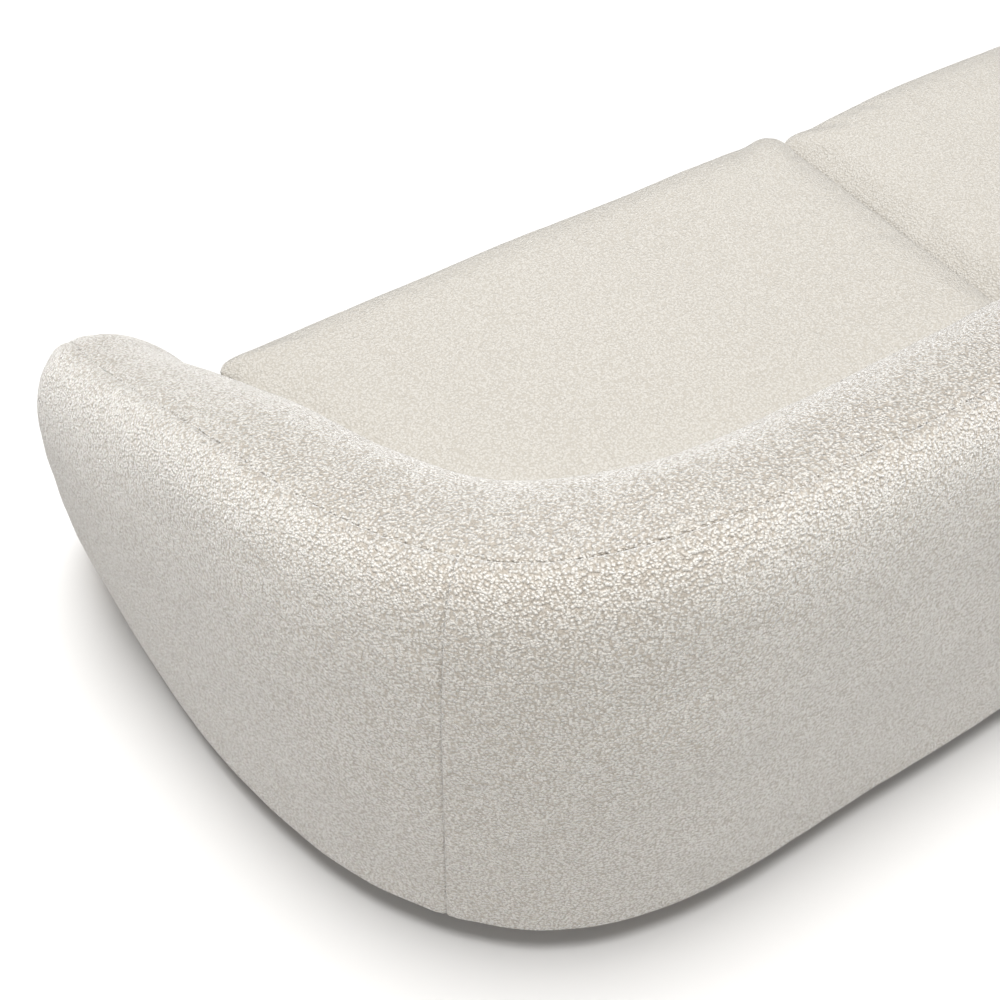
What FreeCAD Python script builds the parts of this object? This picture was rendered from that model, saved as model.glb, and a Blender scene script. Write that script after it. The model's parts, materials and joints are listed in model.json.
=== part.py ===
import FreeCAD, Part
import math
import os

# Curved two-seat-cushion sofa: one continuous upholstered shell (back and both arms) round a
# timber seat frame, two loose seat cushions and six short wooden legs.
# Millimetres. Origin on the floor at the centre of the sofa, +Z up, the sitter faces -Y,
# so the sitter's left-hand side is +X. The sofa is symmetric about X = 0.

Vec = FreeCAD.Vector

# ---- driving dimensions: plan of the shell (outer edge at the hem) ----
BACK_Y = 538.0            # straight back
CORNER_X = 675.0          # where the straight back turns into the corner
SIDE_X = 1273.0           # outer side of the arm
ARM_END_Y = -346.0        # where the arm turns into its rounded nose
CORNER_POWER = 2.7        # squareness of the rear corner
NOSE_REACH = 185.0        # nose in front of the arm's end
NOSE_POWER = 2.8          # squareness of the nose in plan, on its outer side
INNER_NOSE_POWER = 1.65   # and on the side towards the seat

# ---- driving dimensions: section of the shell, at stations from the middle of the back (0)
# along the outline to the arm's end (1) ----
STATIONS = (0.0, 0.28, 0.42, 0.56, 0.78, 1.0)
CREST_Z = (735.0, 732.0, 730.0, 696.0, 657.0, 538.0)
CREST_INSET = (86.0, 79.0, 83.0, 92.0, 92.0, 61.0)
INNER_ROLL = (193.0, 193.0, 209.0, 246.0, 198.0, 124.0)
SEAM_STATION = 0.604      # vertical seam behind each rear corner
BLEND_STATION = 0.8       # from here the section turns into the nose's section
HEM_Z = 50.0
WALL_LEAN = -15.0
WALL_RISE = 242.0
OUTER_ROLL = 90.0
NOSE_BULGE = 39.0
NOSE_RISE = 283.0
INNER_NOSE_RISE = 304.0
INNER_WALL = 206.0        # crest line to inner wall
INNER_LEAN = 30.0
KNEE_SHARE = 0.6          # inner shoulder's pole, as a share of the crest's height
KNEE_BASE = 120.0         # and this much more
SHOULDER_LIFT = 15.0      # fuller shoulder between arm and nose: up
SHOULDER_REACH = 22.0     # and towards the seat
WALL_FOOT_Z = 262.0

# ---- driving dimensions: layers, measured in from the outer surface ----
COVER = 3.0
PADDING = 18.0
OUTER_BOARD = 22.0
FOAM = 63.0
INNER_BOARD = 67.0
FORMER_GAP = 5.0
PLY = 18.0
BASE_INSET = 100.0        # crest line to the base board's inner edge
CREST_RAIL_DROP = 42.0
CREST_RAIL_HEIGHT = 70.0
CREST_RAIL_SIDES = (20.0, 2.0)
FORMER_STATIONS = {"back_former": 0.16, "corner_former": 0.45, "arm_former": 0.74, "arm_front": 0.99}
JOINT_GAP = 0.002         # between neighbouring boards, in stations

# ---- driving dimensions: seat ----
SEAT_FRONT_Y = -378.0
SEAT_TOP_Z = 423.0
SEAT_BOTTOM_Z = 262.0
SEAT_GAP = 5.0
CUSHION_HALF_GAP = 1.5
CUSHION_ROUND = 24.0
CORNER_ROUND = 60.0
CUSHION_SIDE = 20.0       # straight length of its side behind the rounded front corner
BAND_Y = -371.0
RAIL = 30.0
RAIL_TOP_Z = 250.0
BAND_LIP = 18.0
SIDE_RAIL_X = 930.0
REAR_RAIL_Y = 255.0
CENTRE_RAIL_Z = 80.0
BLOCK_HALF = 60.0
BLOCK_DEPTH = 100.0
BATTEN_HALF = 20.0
BATTEN_HEIGHT = 28.0
BATTEN_REACH = 130.0      # batten's end inside the outline
ARM_BATTEN_Y = (-80.0, 190.0)
BACK_BATTEN_X = (-500.0, -90.0, 90.0, 500.0)
SPRING_X = (90.0, 290.0, 490.0, 690.0, 840.0)
SPRING_WIRE = 1.9
SPRING_Z = 254.0
SPRING_SWING = 24.0
SPRING_WAVES = 8
SPRING_SEAT = 14.0        # how far a spring's end lies over its rail
CLIP = (18.0, 12.0, 7.0)
CLIP_CLEARANCE = 0.1
DECK_Z = (258.5, 260.5)
DECK_EDGE = 26.0
DUST_CLOTH = 1.5
DUST_EDGE = 40.0
DUST_STATION = 0.93
ZIP_SLOT = (180.0, 480.0, 4.0)

# ---- driving dimensions: legs ----
LEG_PLACES = {
    "leg_front_left": (1163.0, -330.0),
    "leg_front_right": (-1163.0, -330.0),
    "leg_rear_left": (968.0, 360.0),
    "leg_rear_right": (-968.0, 360.0),
    "leg_centre_front": (0.0, -290.0),
    "leg_centre_rear": (0.0, 428.0),
}
LEG_TOP_RADIUS = 28.0
LEG_FOOT_RADIUS = 21.0
GLIDE = 4.0
GLIDE_RADIUS = 19.0
PLATE = 3.0
PLATE_SIDE = 66.0
BOLT_RADIUS = 4.0
BOLT_CLEARANCE = 0.25
BOLT_BOTTOM_Z = 20.0
SCREW_RADIUS = 1.75
SCREW_HEAD_RADIUS = 3.5
SCREW_OFFSET = 25.0
SCREW_LENGTH = 15.0
SCREW_HEAD = 1.5
DRILL_DEPTH = 24.0
BOLT_TOP_Z = 66.0

ROWS_BACK = 49
ROWS_ARM = 21
ROWS_NOSE = 9
ROWS_CUSHION = 17


# ---------------------------------------------------------------- outline and sections

def through(values, s):
    """Smooth value at station s through one value per station."""
    s = min(abs(s), 1.0)
    steps = [b - a for a, b in zip(STATIONS, STATIONS[1:])]
    rises = [(b - a) / step for a, b, step in zip(values, values[1:], steps)]
    slopes = [0.0]
    for left, right in zip(rises, rises[1:]):
        same_way = left * right > 0
        slopes.append(2 * left * right / (left + right) if same_way else 0.0)
    slopes.append(rises[-1])
    k = max(i for i in range(len(steps)) if STATIONS[i] <= s)
    t = (s - STATIONS[k]) / steps[k]
    ease = t * t * (3 - 2 * t)
    start = t * (1 - t) ** 2
    end = t * t * (t - 1)
    level = values[k] * (1 - ease) + values[k + 1] * ease
    return level + steps[k] * (start * slopes[k] + end * slopes[k + 1])


def outline_table(count=400):
    """Distance along half the outline, and the points there."""
    points = [(0.0, BACK_Y)]
    for i in range(count + 1):
        angle = 0.5 * math.pi * i / count
        a, b = math.sin(angle), math.cos(angle)
        reach = (a ** CORNER_POWER + b ** CORNER_POWER) ** (-1 / CORNER_POWER)
        x = CORNER_X + (SIDE_X - CORNER_X) * a * reach
        y = ARM_END_Y + (BACK_Y - ARM_END_Y) * b * reach
        points.append((x, y))
    lengths = [0.0]
    for p, q in zip(points, points[1:]):
        lengths.append(lengths[-1] + math.dist(p, q))
    return points, lengths


OUTLINE, LENGTHS = outline_table()
HALF_LENGTH = LENGTHS[-1]


def outline_point(s):
    """Point on the outline at station s; negative stations lie on the right-hand side."""
    want = min(abs(s), 1.0) * HALF_LENGTH
    k = max(i for i in range(len(LENGTHS) - 1) if LENGTHS[i] <= want)
    t = (want - LENGTHS[k]) / (LENGTHS[k + 1] - LENGTHS[k])
    x = OUTLINE[k][0] * (1 - t) + OUTLINE[k + 1][0] * t
    y = OUTLINE[k][1] * (1 - t) + OUTLINE[k + 1][1] * t
    return math.copysign(x, s), y


def outward(s, reach=0.01):
    """Unit direction out of the shell at station s."""
    ax, ay = outline_point(max(s - reach, -1.0))
    bx, by = outline_point(min(s + reach, 1.0))
    length = math.hypot(bx - ax, by - ay)
    return -(by - ay) / length, (bx - ax) / length


def place(s, r, z):
    """A point r outside the outline at station s."""
    x, y = outline_point(s)
    ox, oy = outward(s)
    return Vec(x + ox * r, y + oy * r, z)


def nose_blend(s):
    t = max(0.0, (abs(s) - BLEND_STATION) / (1 - BLEND_STATION))
    return t * t * (3 - 2 * t)


def crossing(a, b, c, d):
    """Where line a-b meets line c-d, or the middle of b and c if they run together."""
    det = (b[0] - a[0]) * (d[1] - c[1]) - (b[1] - a[1]) * (d[0] - c[0])
    if abs(det) < 1.0:
        return 0.5 * (b[0] + c[0]), 0.5 * (b[1] + c[1])
    t = ((c[0] - a[0]) * (d[1] - c[1]) - (c[1] - a[1]) * (d[0] - c[0])) / det
    return a[0] + t * (b[0] - a[0]), a[1] + t * (b[1] - a[1])


def inset_poles(poles, depth):
    """Section poles moved into the shell by depth, each leg of the polygon kept parallel."""
    legs = []
    for (ar, az), (br, bz) in zip(poles, poles[1:]):
        length = math.hypot(br - ar, bz - az)
        nr, nz = -(bz - az) / length * depth, (br - ar) / length * depth
        legs.append(((ar + nr, az + nz), (br + nr, bz + nz)))
    moved = [legs[0][0]]
    for first, second in zip(legs, legs[1:]):
        moved.append(crossing(*first, *second))
    moved.append(legs[-1][1])
    return moved


def outer_poles(s, depth):
    """Bezier poles (r, z) of the outer side, from the hem up to the crest line."""
    m = nose_blend(s)
    inset = through(CREST_INSET, s)
    crest = through(CREST_Z, s)
    lean = WALL_LEAN * (1 - m) + NOSE_BULGE * m
    rise = WALL_RISE * (1 - m) + NOSE_RISE * m
    poles = [(0.0, HEM_Z), (lean, HEM_Z + rise), (OUTER_ROLL - inset, crest), (-inset, crest)]
    poles = inset_poles(poles, depth)
    poles[0] = (-depth, HEM_Z)
    return poles


def inner_poles(s, depth):
    """Bezier poles (r, z) of the inner side, from the crest line down to the wall's foot."""
    m = nose_blend(s)
    hump = 4 * m * (1 - m)
    inset = through(CREST_INSET, s)
    crest = through(CREST_Z, s)
    foot_r = -inset - INNER_WALL
    foot_z = WALL_FOOT_Z * (1 - m) + HEM_Z * m
    knee_r = foot_r + INNER_LEAN * (1 - m)
    knee_z = (KNEE_SHARE * crest + KNEE_BASE) * (1 - m) + (HEM_Z + INNER_NOSE_RISE) * m
    knee_z += SHOULDER_LIFT * hump
    roll = through(INNER_ROLL, s) + SHOULDER_REACH * hump
    poles = [(-inset, crest), (-inset - roll, crest)]
    poles += [(knee_r, knee_z), (foot_r, foot_z)]
    poles = inset_poles(poles, depth)
    poles[3] = (foot_r + depth, foot_z)
    return poles


def shell_grid(poles_at, depth, first, last, rows):
    """Grid of surface poles over the stations from first to last."""
    grid = []
    for i in range(rows):
        s = first + (last - first) * i / (rows - 1)
        grid.append([place(s, r, z) for r, z in poles_at(s, depth)])
    return grid


def nose_grid(first, last, depth, outer_side):
    """Grid of poles of the nose, fanned round the crest line's end, angles in degrees."""
    inset = through(CREST_INSET, 1.0)
    crest = through(CREST_Z, 1.0)
    slope = (CREST_Z[-2] - CREST_Z[-1]) / (STATIONS[-1] - STATIONS[-2]) / HALF_LENGTH
    axis_x = SIDE_X - inset
    grid = []
    for i in range(ROWS_NOSE):
        angle = math.radians(first + (last - first) * i / (ROWS_NOSE - 1))
        c, d = math.cos(angle), math.sin(angle)
        width, power = (inset, NOSE_POWER) if c > 0 else (INNER_WALL, INNER_NOSE_POWER)
        reach = (abs(c) ** power + abs(d) ** power) ** (-1 / power)
        fx, fy = width * c * reach, -NOSE_REACH * d * reach
        far = math.hypot(fx, fy)
        ux, uy = fx / far, fy / far
        t = max(0.0, angle / (0.5 * math.pi) - 1)
        inner_share = t * t * (3 - 2 * t)
        bulge = NOSE_BULGE * (1 - inner_share)
        knee_z = HEM_Z + NOSE_RISE * (1 - inner_share) + INNER_NOSE_RISE * inner_share
        roll = OUTER_ROLL
        if not outer_side:
            roll = OUTER_ROLL * (1 - t) + through(INNER_ROLL, 1.0) * t
        poles = [(far, HEM_Z), (far + bulge, knee_z)]
        poles += [(roll, crest + slope * roll * uy), (0.0, crest)]
        poles = inset_poles(poles, depth)
        poles[0] = (far - depth, HEM_Z)
        poles[3] = (0.0, crest - depth)
        row = [Vec(axis_x + ux * r, ARM_END_Y + uy * r, z) for r, z in poles]
        grid.append(row if outer_side else row[::-1])
    return grid


# ---------------------------------------------------------------- surfaces and solids

def clamped(count, degree):
    """Knots and multiplicities of a clamped spline with count poles."""
    spans = count - degree
    knots = [float(i) for i in range(spans + 1)]
    mults = [degree + 1] + [1] * (spans - 1) + [degree + 1]
    return knots, mults


def surface(grid):
    """Spline surface whose poles are the grid."""
    degree_u = min(3, len(grid) - 1)
    degree_v = min(3, len(grid[0]) - 1)
    knots_u, mults_u = clamped(len(grid), degree_u)
    knots_v, mults_v = clamped(len(grid[0]), degree_v)
    spline = Part.BSplineSurface()
    spline.buildFromPolesMultsKnots(grid, mults_u, mults_v, knots_u, knots_v, False, False,
                                    degree_u, degree_v)
    return spline


def curve(poles):
    """Spline edge with the given poles, the border of a surface with the same poles."""
    degree = min(3, len(poles) - 1)
    knots, mults = clamped(len(poles), degree)
    spline = Part.BSplineCurve()
    spline.buildFromPolesMultsKnots(poles, mults, knots, False, degree)
    return spline.toShape()


def strip(poles_a, poles_b):
    """Ruled face between two borders."""
    return surface([[a, b] for a, b in zip(poles_a, poles_b)]).toShape()


def sewn(faces):
    """Closed solid from faces that meet edge to edge."""
    skin = Part.makeCompound(faces)
    skin.sewShape()
    body = Part.makeSolid(skin.Shells[0])
    if body.Volume < 0:
        body.reverse()
    return body


def layer_faces(top, bottom, ends):
    """Faces of a layer between two grids; ends says which first and last rows are closed."""
    faces = [surface(top).toShape(), surface(bottom).toShape()]
    for side in (0, -1):
        gathered = (top[0][side] - top[-1][side]).Length < 1.0
        if not gathered:
            faces.append(strip([row[side] for row in top], [row[side] for row in bottom]))
    for index, closed in zip((0, -1), ends):
        if closed:
            faces.append(strip(top[index], bottom[index]))
    return faces


def shell_layer(poles_at, near, far, first, last, rows):
    """Solid layer of the shell between two depths and two stations."""
    top = shell_grid(poles_at, near, first, last, rows)
    bottom = shell_grid(poles_at, far, first, last, rows)
    return sewn(layer_faces(top, bottom, (True, True)))


def arm_cover(poles_at, first_angle, outer_side):
    """Cover of one arm with its half of the nose, as one sewn panel."""
    top = shell_grid(poles_at, 0.0, SEAM_STATION, 1.0, ROWS_ARM)
    bottom = shell_grid(poles_at, COVER, SEAM_STATION, 1.0, ROWS_ARM)
    nose_top = nose_grid(first_angle, 90.0, 0.0, outer_side)
    nose_bottom = nose_grid(first_angle, 90.0, COVER, outer_side)
    top[-1] = nose_top[0]
    bottom[-1] = nose_bottom[0]
    faces = layer_faces(top, bottom, (True, False))
    faces += layer_faces(nose_top, nose_bottom, (False, True))
    return sewn(faces)


def box(low, high):
    """Box from its lowest to its highest corner."""
    size = Vec(*high) - Vec(*low)
    return Part.makeBox(size.x, size.y, size.z, Vec(*low))


def plate(edges, low_z, high_z):
    """Flat plate with an outline of edges drawn at low_z."""
    return Part.Face(Part.Wire(edges)).extrude(Vec(0, 0, high_z - low_z))


def flat_face(points):
    return Part.Face(Part.makePolygon(points + points[:1]))


def mirrored(shape):
    return shape.mirror(Vec(0, 0, 0), Vec(1, 0, 0))


# ---------------------------------------------------------------- shell pieces

def shell_pieces():
    """Covers, padding, foam and boards, three stretches each, keyed by name."""
    seam = SEAM_STATION
    layers = {
        "outer_padding": (outer_poles, COVER, PADDING),
        "outer_board": (outer_poles, PADDING, OUTER_BOARD),
        "inner_foam": (inner_poles, COVER, FOAM),
        "inner_board": (inner_poles, FOAM, INNER_BOARD),
    }
    pieces = {}
    for name, (poles_at, near, far) in layers.items():
        pieces[name + "_back"] = shell_layer(poles_at, near, far, -seam, seam, ROWS_BACK)
        arm = shell_layer(poles_at, near, far, seam, 1.0, ROWS_ARM)
        pieces[name + "_left"] = arm
        pieces[name + "_right"] = mirrored(arm)
    pieces["outside_back_cover"] = shell_layer(outer_poles, 0.0, COVER, -seam, seam, ROWS_BACK)
    pieces["inside_back_cover"] = shell_layer(inner_poles, 0.0, COVER, -seam, seam, ROWS_BACK)
    outside = arm_cover(outer_poles, 0.0, True)
    inside = arm_cover(inner_poles, 180.0, False)
    pieces["outside_arm_cover_left"] = outside
    pieces["outside_arm_cover_right"] = mirrored(outside)
    pieces["inside_arm_cover_left"] = inside
    pieces["inside_arm_cover_right"] = mirrored(inside)
    return pieces


def nose_foam():
    """Foam block that fills one nose, on top of the base board."""
    outer = nose_grid(0.0, 90.0, COVER, True)
    inner = nose_grid(180.0, 90.0, COVER, False)
    inner = [row[::-1] for row in inner]
    hub = Vec(outer[0][3].x, ARM_END_Y, HEM_Z)
    faces = [surface(outer).toShape(), surface(inner).toShape()]
    for grid in (outer, inner):
        rim = [row[0] for row in grid]
        faces.append(strip(rim, [hub] * len(rim)))
        rear = Part.Wire([curve(grid[0]), Part.makeLine(grid[0][3], hub),
                          Part.makeLine(hub, grid[0][0])])
        faces.append(Part.Face(rear))
    block = sewn(faces)
    block = block.cut(box((0, -BACK_Y, 0), (2 * SIDE_X, BACK_Y, HEM_Z + PLY)))
    return block.cut(box((0, ARM_END_Y - 1, 0), (2 * SIDE_X, BACK_Y, CREST_Z[0])))


def bezier_points(poles, count=40):
    """Points (r, z) along the section with the given poles."""
    line = Part.BezierCurve()
    line.setPoles([Vec(r, z, 0) for r, z in poles])
    points = [line.value(i / count) for i in range(count + 1)]
    return [(p.x, p.y) for p in points]


def former(s):
    """Upright plywood rib inside the shell at station s, standing on the base board."""
    top_z = through(CREST_Z, s) - CREST_RAIL_DROP - CREST_RAIL_HEIGHT - FORMER_GAP
    foot_z = HEM_Z + PLY
    base_r = -through(CREST_INSET, s) - BASE_INSET
    outer_line = bezier_points(outer_poles(s, OUTER_BOARD + FORMER_GAP))
    inner_line = bezier_points(inner_poles(s, INNER_BOARD + FORMER_GAP))
    rise = [(r, z) for r, z in outer_line if foot_z < z < top_z]
    fall = [(r, z) for r, z in inner_line if WALL_FOOT_Z < z < top_z and r > base_r]
    section = [(rise[0][0], foot_z)] + rise + [(rise[-1][0], top_z)]
    section += [(fall[0][0], top_z)] + fall + [(base_r, fall[-1][1]), (base_r, foot_z)]
    ox, oy = outward(s)
    along = Vec(oy, -ox, 0)
    points = [place(s, r, z) - along * (0.5 * PLY) for r, z in section]
    return flat_face(points).extrude(along * PLY)


def crest_rail(first, last, rows):
    """Bent plywood strip under the crest, fixed on top of the ribs."""
    grids = []
    for r_offset in CREST_RAIL_SIDES:
        grid = []
        for i in range(rows):
            s = first + (last - first) * i / (rows - 1)
            r = -through(CREST_INSET, s) + r_offset
            top_z = through(CREST_Z, s) - CREST_RAIL_DROP
            grid.append([place(s, r, top_z - CREST_RAIL_HEIGHT), place(s, r, top_z)])
        grids.append(grid)
    return sewn(layer_faces(grids[0], grids[1], (True, True)))


def base_outer(first, last, rows):
    depth = OUTER_BOARD + FORMER_GAP
    return [place(first + (last - first) * i / (rows - 1), -depth, HEM_Z) for i in range(rows)]


def base_inner(first, last, rows):
    points = []
    for i in range(rows):
        s = first + (last - first) * i / (rows - 1)
        points.append(place(s, -through(CREST_INSET, s) - BASE_INSET, HEM_Z))
    return points


def smooth_edge(points):
    spline = Part.BSplineCurve()
    spline.interpolate(points)
    return spline.toShape()


def base_board_back():
    """Plywood base of the back, following the outline."""
    seam = SEAM_STATION - JOINT_GAP
    outer = base_outer(-seam, seam, ROWS_BACK)
    inner = base_inner(-seam, seam, ROWS_BACK)
    edges = [smooth_edge(outer), Part.makeLine(outer[-1], inner[-1]),
             smooth_edge(inner[::-1]), Part.makeLine(inner[0], outer[0])]
    return plate(edges, HEM_Z, HEM_Z + PLY)


def base_board_arm():
    """Plywood base of one arm and its nose."""
    outer = base_outer(SEAM_STATION + JOINT_GAP, 1.0, ROWS_ARM)
    inner = base_inner(SEAM_STATION + JOINT_GAP, 1.0, ROWS_ARM)
    depth = OUTER_BOARD + FORMER_GAP
    rim = []
    for first, last, side in ((0.0, 90.0, True), (90.0, 180.0, False)):
        rim += [row[0 if side else -1] for row in nose_grid(first, last, depth, side)][1:]
    rim[-1].y -= FORMER_GAP
    edges = [smooth_edge(outer), smooth_edge([outer[-1]] + rim),
             Part.makeLine(rim[-1], inner[-1]), smooth_edge(inner[::-1]),
             Part.makeLine(inner[0], outer[0])]
    return plate(edges, HEM_Z, HEM_Z + PLY)


# ---------------------------------------------------------------- seat frame

def battens():
    """Short battens that tie the seat box to the shell's base boards."""
    foot_z = HEM_Z + PLY
    top_z = foot_z + BATTEN_HEIGHT
    pieces = []
    for y in ARM_BATTEN_Y:
        arm = box((SIDE_RAIL_X, y - BATTEN_HALF, foot_z),
                  (SIDE_X - BATTEN_REACH, y + BATTEN_HALF, top_z))
        pieces += [arm, mirrored(arm)]
    for x in BACK_BATTEN_X:
        pieces.append(box((x - BATTEN_HALF, REAR_RAIL_Y, foot_z),
                          (x + BATTEN_HALF, BACK_Y - BATTEN_REACH, top_z)))
    return Part.makeCompound(pieces)


def frame_pieces():
    """Straight timber rails of the seat box."""
    front_y = BAND_Y + COVER
    mid_y = front_y + RAIL
    rear_y = REAR_RAIL_Y - RAIL
    wide_x = SIDE_X - CREST_INSET[-1] - INNER_WALL - SEAT_GAP
    side = box((SIDE_RAIL_X - RAIL, mid_y, HEM_Z), (SIDE_RAIL_X, rear_y, RAIL_TOP_Z))
    return {
        "front_rail": box((-wide_x, front_y, HEM_Z), (wide_x, mid_y, RAIL_TOP_Z)),
        "rear_rail": box((-SIDE_RAIL_X, rear_y, HEM_Z), (SIDE_RAIL_X, REAR_RAIL_Y, RAIL_TOP_Z)),
        "side_rail_left": side,
        "side_rail_right": mirrored(side),
        "centre_rail": box((-RAIL / 2, mid_y, CENTRE_RAIL_Z), (RAIL / 2, rear_y, RAIL_TOP_Z)),
        "centre_leg_block": box((-BLOCK_HALF, mid_y, HEM_Z),
                                (BLOCK_HALF, mid_y + BLOCK_DEPTH, HEM_Z + BATTEN_HEIGHT)),
        "frame_battens": battens(),
    }


def front_band():
    """Fabric band over the front rail, turned back over its top."""
    wide_x = SIDE_X - CREST_INSET[-1] - INNER_WALL - 1.0
    top_z = RAIL_TOP_Z + COVER
    face = box((-wide_x, BAND_Y, HEM_Z), (wide_x, BAND_Y + COVER, top_z))
    lip = box((-wide_x, BAND_Y, RAIL_TOP_Z), (wide_x, BAND_Y + BAND_LIP, top_z))
    return face.fuse(lip).removeSplitter()


def spring_path():
    """Centre line of one zig-zag seat spring, from the front rail to the rear rail."""
    start = BAND_Y + COVER + RAIL - SPRING_SEAT
    end = REAR_RAIL_Y - RAIL + SPRING_SEAT
    step = (end - start) / (SPRING_WAVES + 1)
    y = start + step / 2
    x = SPRING_SWING
    edges = [Part.makeLine(Vec(0, start, 0), Vec(0, y, 0))]
    edges.append(Part.makeLine(Vec(0, y, 0), Vec(x, y, 0)))
    for wave in range(SPRING_WAVES):
        bulge = Vec(x + math.copysign(step / 2, x), y + step / 2, 0)
        edges.append(Part.Arc(Vec(x, y, 0), bulge, Vec(x, y + step, 0)).toShape())
        y += step
        last = wave == SPRING_WAVES - 1
        far_x = 0.0 if last else -x
        edges.append(Part.makeLine(Vec(x, y, 0), Vec(far_x, y, 0)))
        x = far_x
    edges.append(Part.makeLine(Vec(0, y, 0), Vec(0, end, 0)))
    return Part.Wire(edges), start


def seat_springs():
    """Zig-zag springs, each a round wire swept with mitred corners."""
    path, start = spring_path()
    circle = Part.Wire([Part.makeCircle(SPRING_WIRE, Vec(0, start, 0), Vec(0, 1, 0))])
    wire = path.makePipeShell([circle], True, False, 1)
    springs = []
    for x in SPRING_X:
        for side in (-1, 1):
            springs.append(wire.translated(Vec(side * x, 0, SPRING_Z)))
    return Part.makeCompound(springs)


def spring_clips():
    """Clips that hold the spring ends on the front and rear rails."""
    width, length, height = CLIP
    front_y = BAND_Y + COVER + BAND_LIP
    rear_y = REAR_RAIL_Y - RAIL + 1
    clips = []
    for x in SPRING_X:
        for side in (-1, 1):
            for y in (front_y, rear_y):
                middle = side * x
                block = box((middle - width / 2, y, RAIL_TOP_Z),
                            (middle + width / 2, y + length, RAIL_TOP_Z + height))
                hole = Part.makeCylinder(SPRING_WIRE + CLIP_CLEARANCE, 2 * length,
                                         Vec(middle, y - length / 2, SPRING_Z), Vec(0, 1, 0))
                clips.append(block.cut(hole))
    return Part.makeCompound(clips)


def deck_cloth():
    """Cloth stretched over the springs, under the loose cushions."""
    half_x = SIDE_RAIL_X - 2
    return box((-half_x, BAND_Y + DECK_EDGE, DECK_Z[0]), (half_x, REAR_RAIL_Y - DECK_EDGE, DECK_Z[1]))


def dust_cover():
    """Thin cloth under the frame, with a cut-out round each leg plate."""
    low_z = HEM_Z - DUST_CLOTH
    steps = 2 * ROWS_ARM
    rim = []
    for i in range(steps + 1):
        rim.append(place(DUST_STATION * (2 * i / steps - 1), -DUST_EDGE, low_z))
    left = Vec(rim[-1].x, BAND_Y + COVER, low_z)
    right = Vec(rim[0].x, BAND_Y + COVER, low_z)
    edges = [smooth_edge(rim), Part.makeLine(rim[-1], left), Part.makeLine(left, right),
             Part.makeLine(right, rim[0])]
    cloth = plate(edges, low_z, HEM_Z)
    half = PLATE_SIDE / 2 + 2
    for x, y in LEG_PLACES.values():
        cloth = cloth.cut(box((x - half, y - half, 0), (x + half, y + half, 2 * HEM_Z)))
    return cloth


# ---------------------------------------------------------------- cushions

def cushion_outline(inset, z):
    """Plan of the left-hand cushion, its outer side following the shell's inner wall."""
    near_x = CUSHION_HALF_GAP + inset
    front_y = SEAT_FRONT_Y + inset
    first = near_x / HALF_LENGTH
    last = 1 - (front_y + CORNER_ROUND + CUSHION_SIDE - ARM_END_Y) / HALF_LENGTH
    wall = []
    for i in range(ROWS_CUSHION):
        s = first + (last - first) * i / (ROWS_CUSHION - 1)
        r = -through(CREST_INSET, s) - INNER_WALL - SEAT_GAP - inset
        wall.append(place(s, r, z))
    far_x = wall[-1].x
    turn = CORNER_ROUND
    cut = turn * (1 - math.sqrt(0.5))
    far_arc = Part.Arc(Vec(far_x, front_y + turn, z), Vec(far_x - cut, front_y + cut, z),
                       Vec(far_x - turn, front_y, z))
    near_arc = Part.Arc(Vec(near_x + turn, front_y, z), Vec(near_x + cut, front_y + cut, z),
                        Vec(near_x, front_y + turn, z))
    return [
        smooth_edge(wall),
        Part.makeLine(wall[-1], Vec(far_x, front_y + turn, z)),
        far_arc.toShape(),
        Part.makeLine(Vec(far_x - turn, front_y, z), Vec(near_x + turn, front_y, z)),
        near_arc.toShape(),
        Part.makeLine(Vec(near_x, front_y + turn, z), wall[0]),
    ]


def cushion_block(inset, rounding):
    """Left-hand cushion solid, its top and bottom edges rounded."""
    low = SEAT_BOTTOM_Z + inset
    high = SEAT_TOP_Z - inset
    block = plate(cushion_outline(inset, low), low, high)
    rims = [edge for edge in block.Edges if edge.BoundBox.ZLength < 0.01]
    return block.makeFillet(rounding, rims)


def cushion_pieces():
    """Cover and foam core of each seat cushion; the cover has its zip slot at the back."""
    block = cushion_block(0.0, CUSHION_ROUND)
    core = cushion_block(COVER, CUSHION_ROUND - COVER)
    back_y = BACK_Y - CREST_INSET[0] - INNER_WALL - SEAT_GAP
    middle_z = 0.5 * (SEAT_BOTTOM_Z + SEAT_TOP_Z)
    start_x, end_x, width = ZIP_SLOT
    slot = box((start_x, back_y - CUSHION_ROUND, middle_z - width / 2),
               (end_x, back_y + CUSHION_ROUND, middle_z + width / 2))
    cover = block.cut(core).cut(slot)
    return {
        "seat_cushion_cover_left": cover,
        "seat_cushion_cover_right": mirrored(cover),
        "seat_cushion_core_left": core,
        "seat_cushion_core_right": mirrored(core),
    }


# ---------------------------------------------------------------- legs

def leg(x, y):
    """Turned wooden leg, tapering to the floor, with a blind hole for its bolt."""
    top_z = HEM_Z - PLATE
    body = Part.makeCone(LEG_FOOT_RADIUS, LEG_TOP_RADIUS, top_z - GLIDE, Vec(x, y, GLIDE))
    hole = Part.makeCylinder(BOLT_RADIUS, top_z - BOLT_BOTTOM_Z, Vec(x, y, BOLT_BOTTOM_Z))
    return body.cut(hole)


def screw_places(x, y):
    return [(x + i * SCREW_OFFSET, y + j * SCREW_OFFSET) for i in (-1, 1) for j in (-1, 1)]


def leg_plate(x, y):
    """Square steel plate between a leg and the frame."""
    half = PLATE_SIDE / 2
    sheet = box((x - half, y - half, HEM_Z - PLATE), (x + half, y + half, HEM_Z))
    sheet = sheet.cut(Part.makeCylinder(BOLT_RADIUS + BOLT_CLEARANCE, HEM_Z, Vec(x, y, 0)))
    for sx, sy in screw_places(x, y):
        sheet = sheet.cut(Part.makeCylinder(SCREW_RADIUS, HEM_Z, Vec(sx, sy, 0)))
    return sheet


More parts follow.
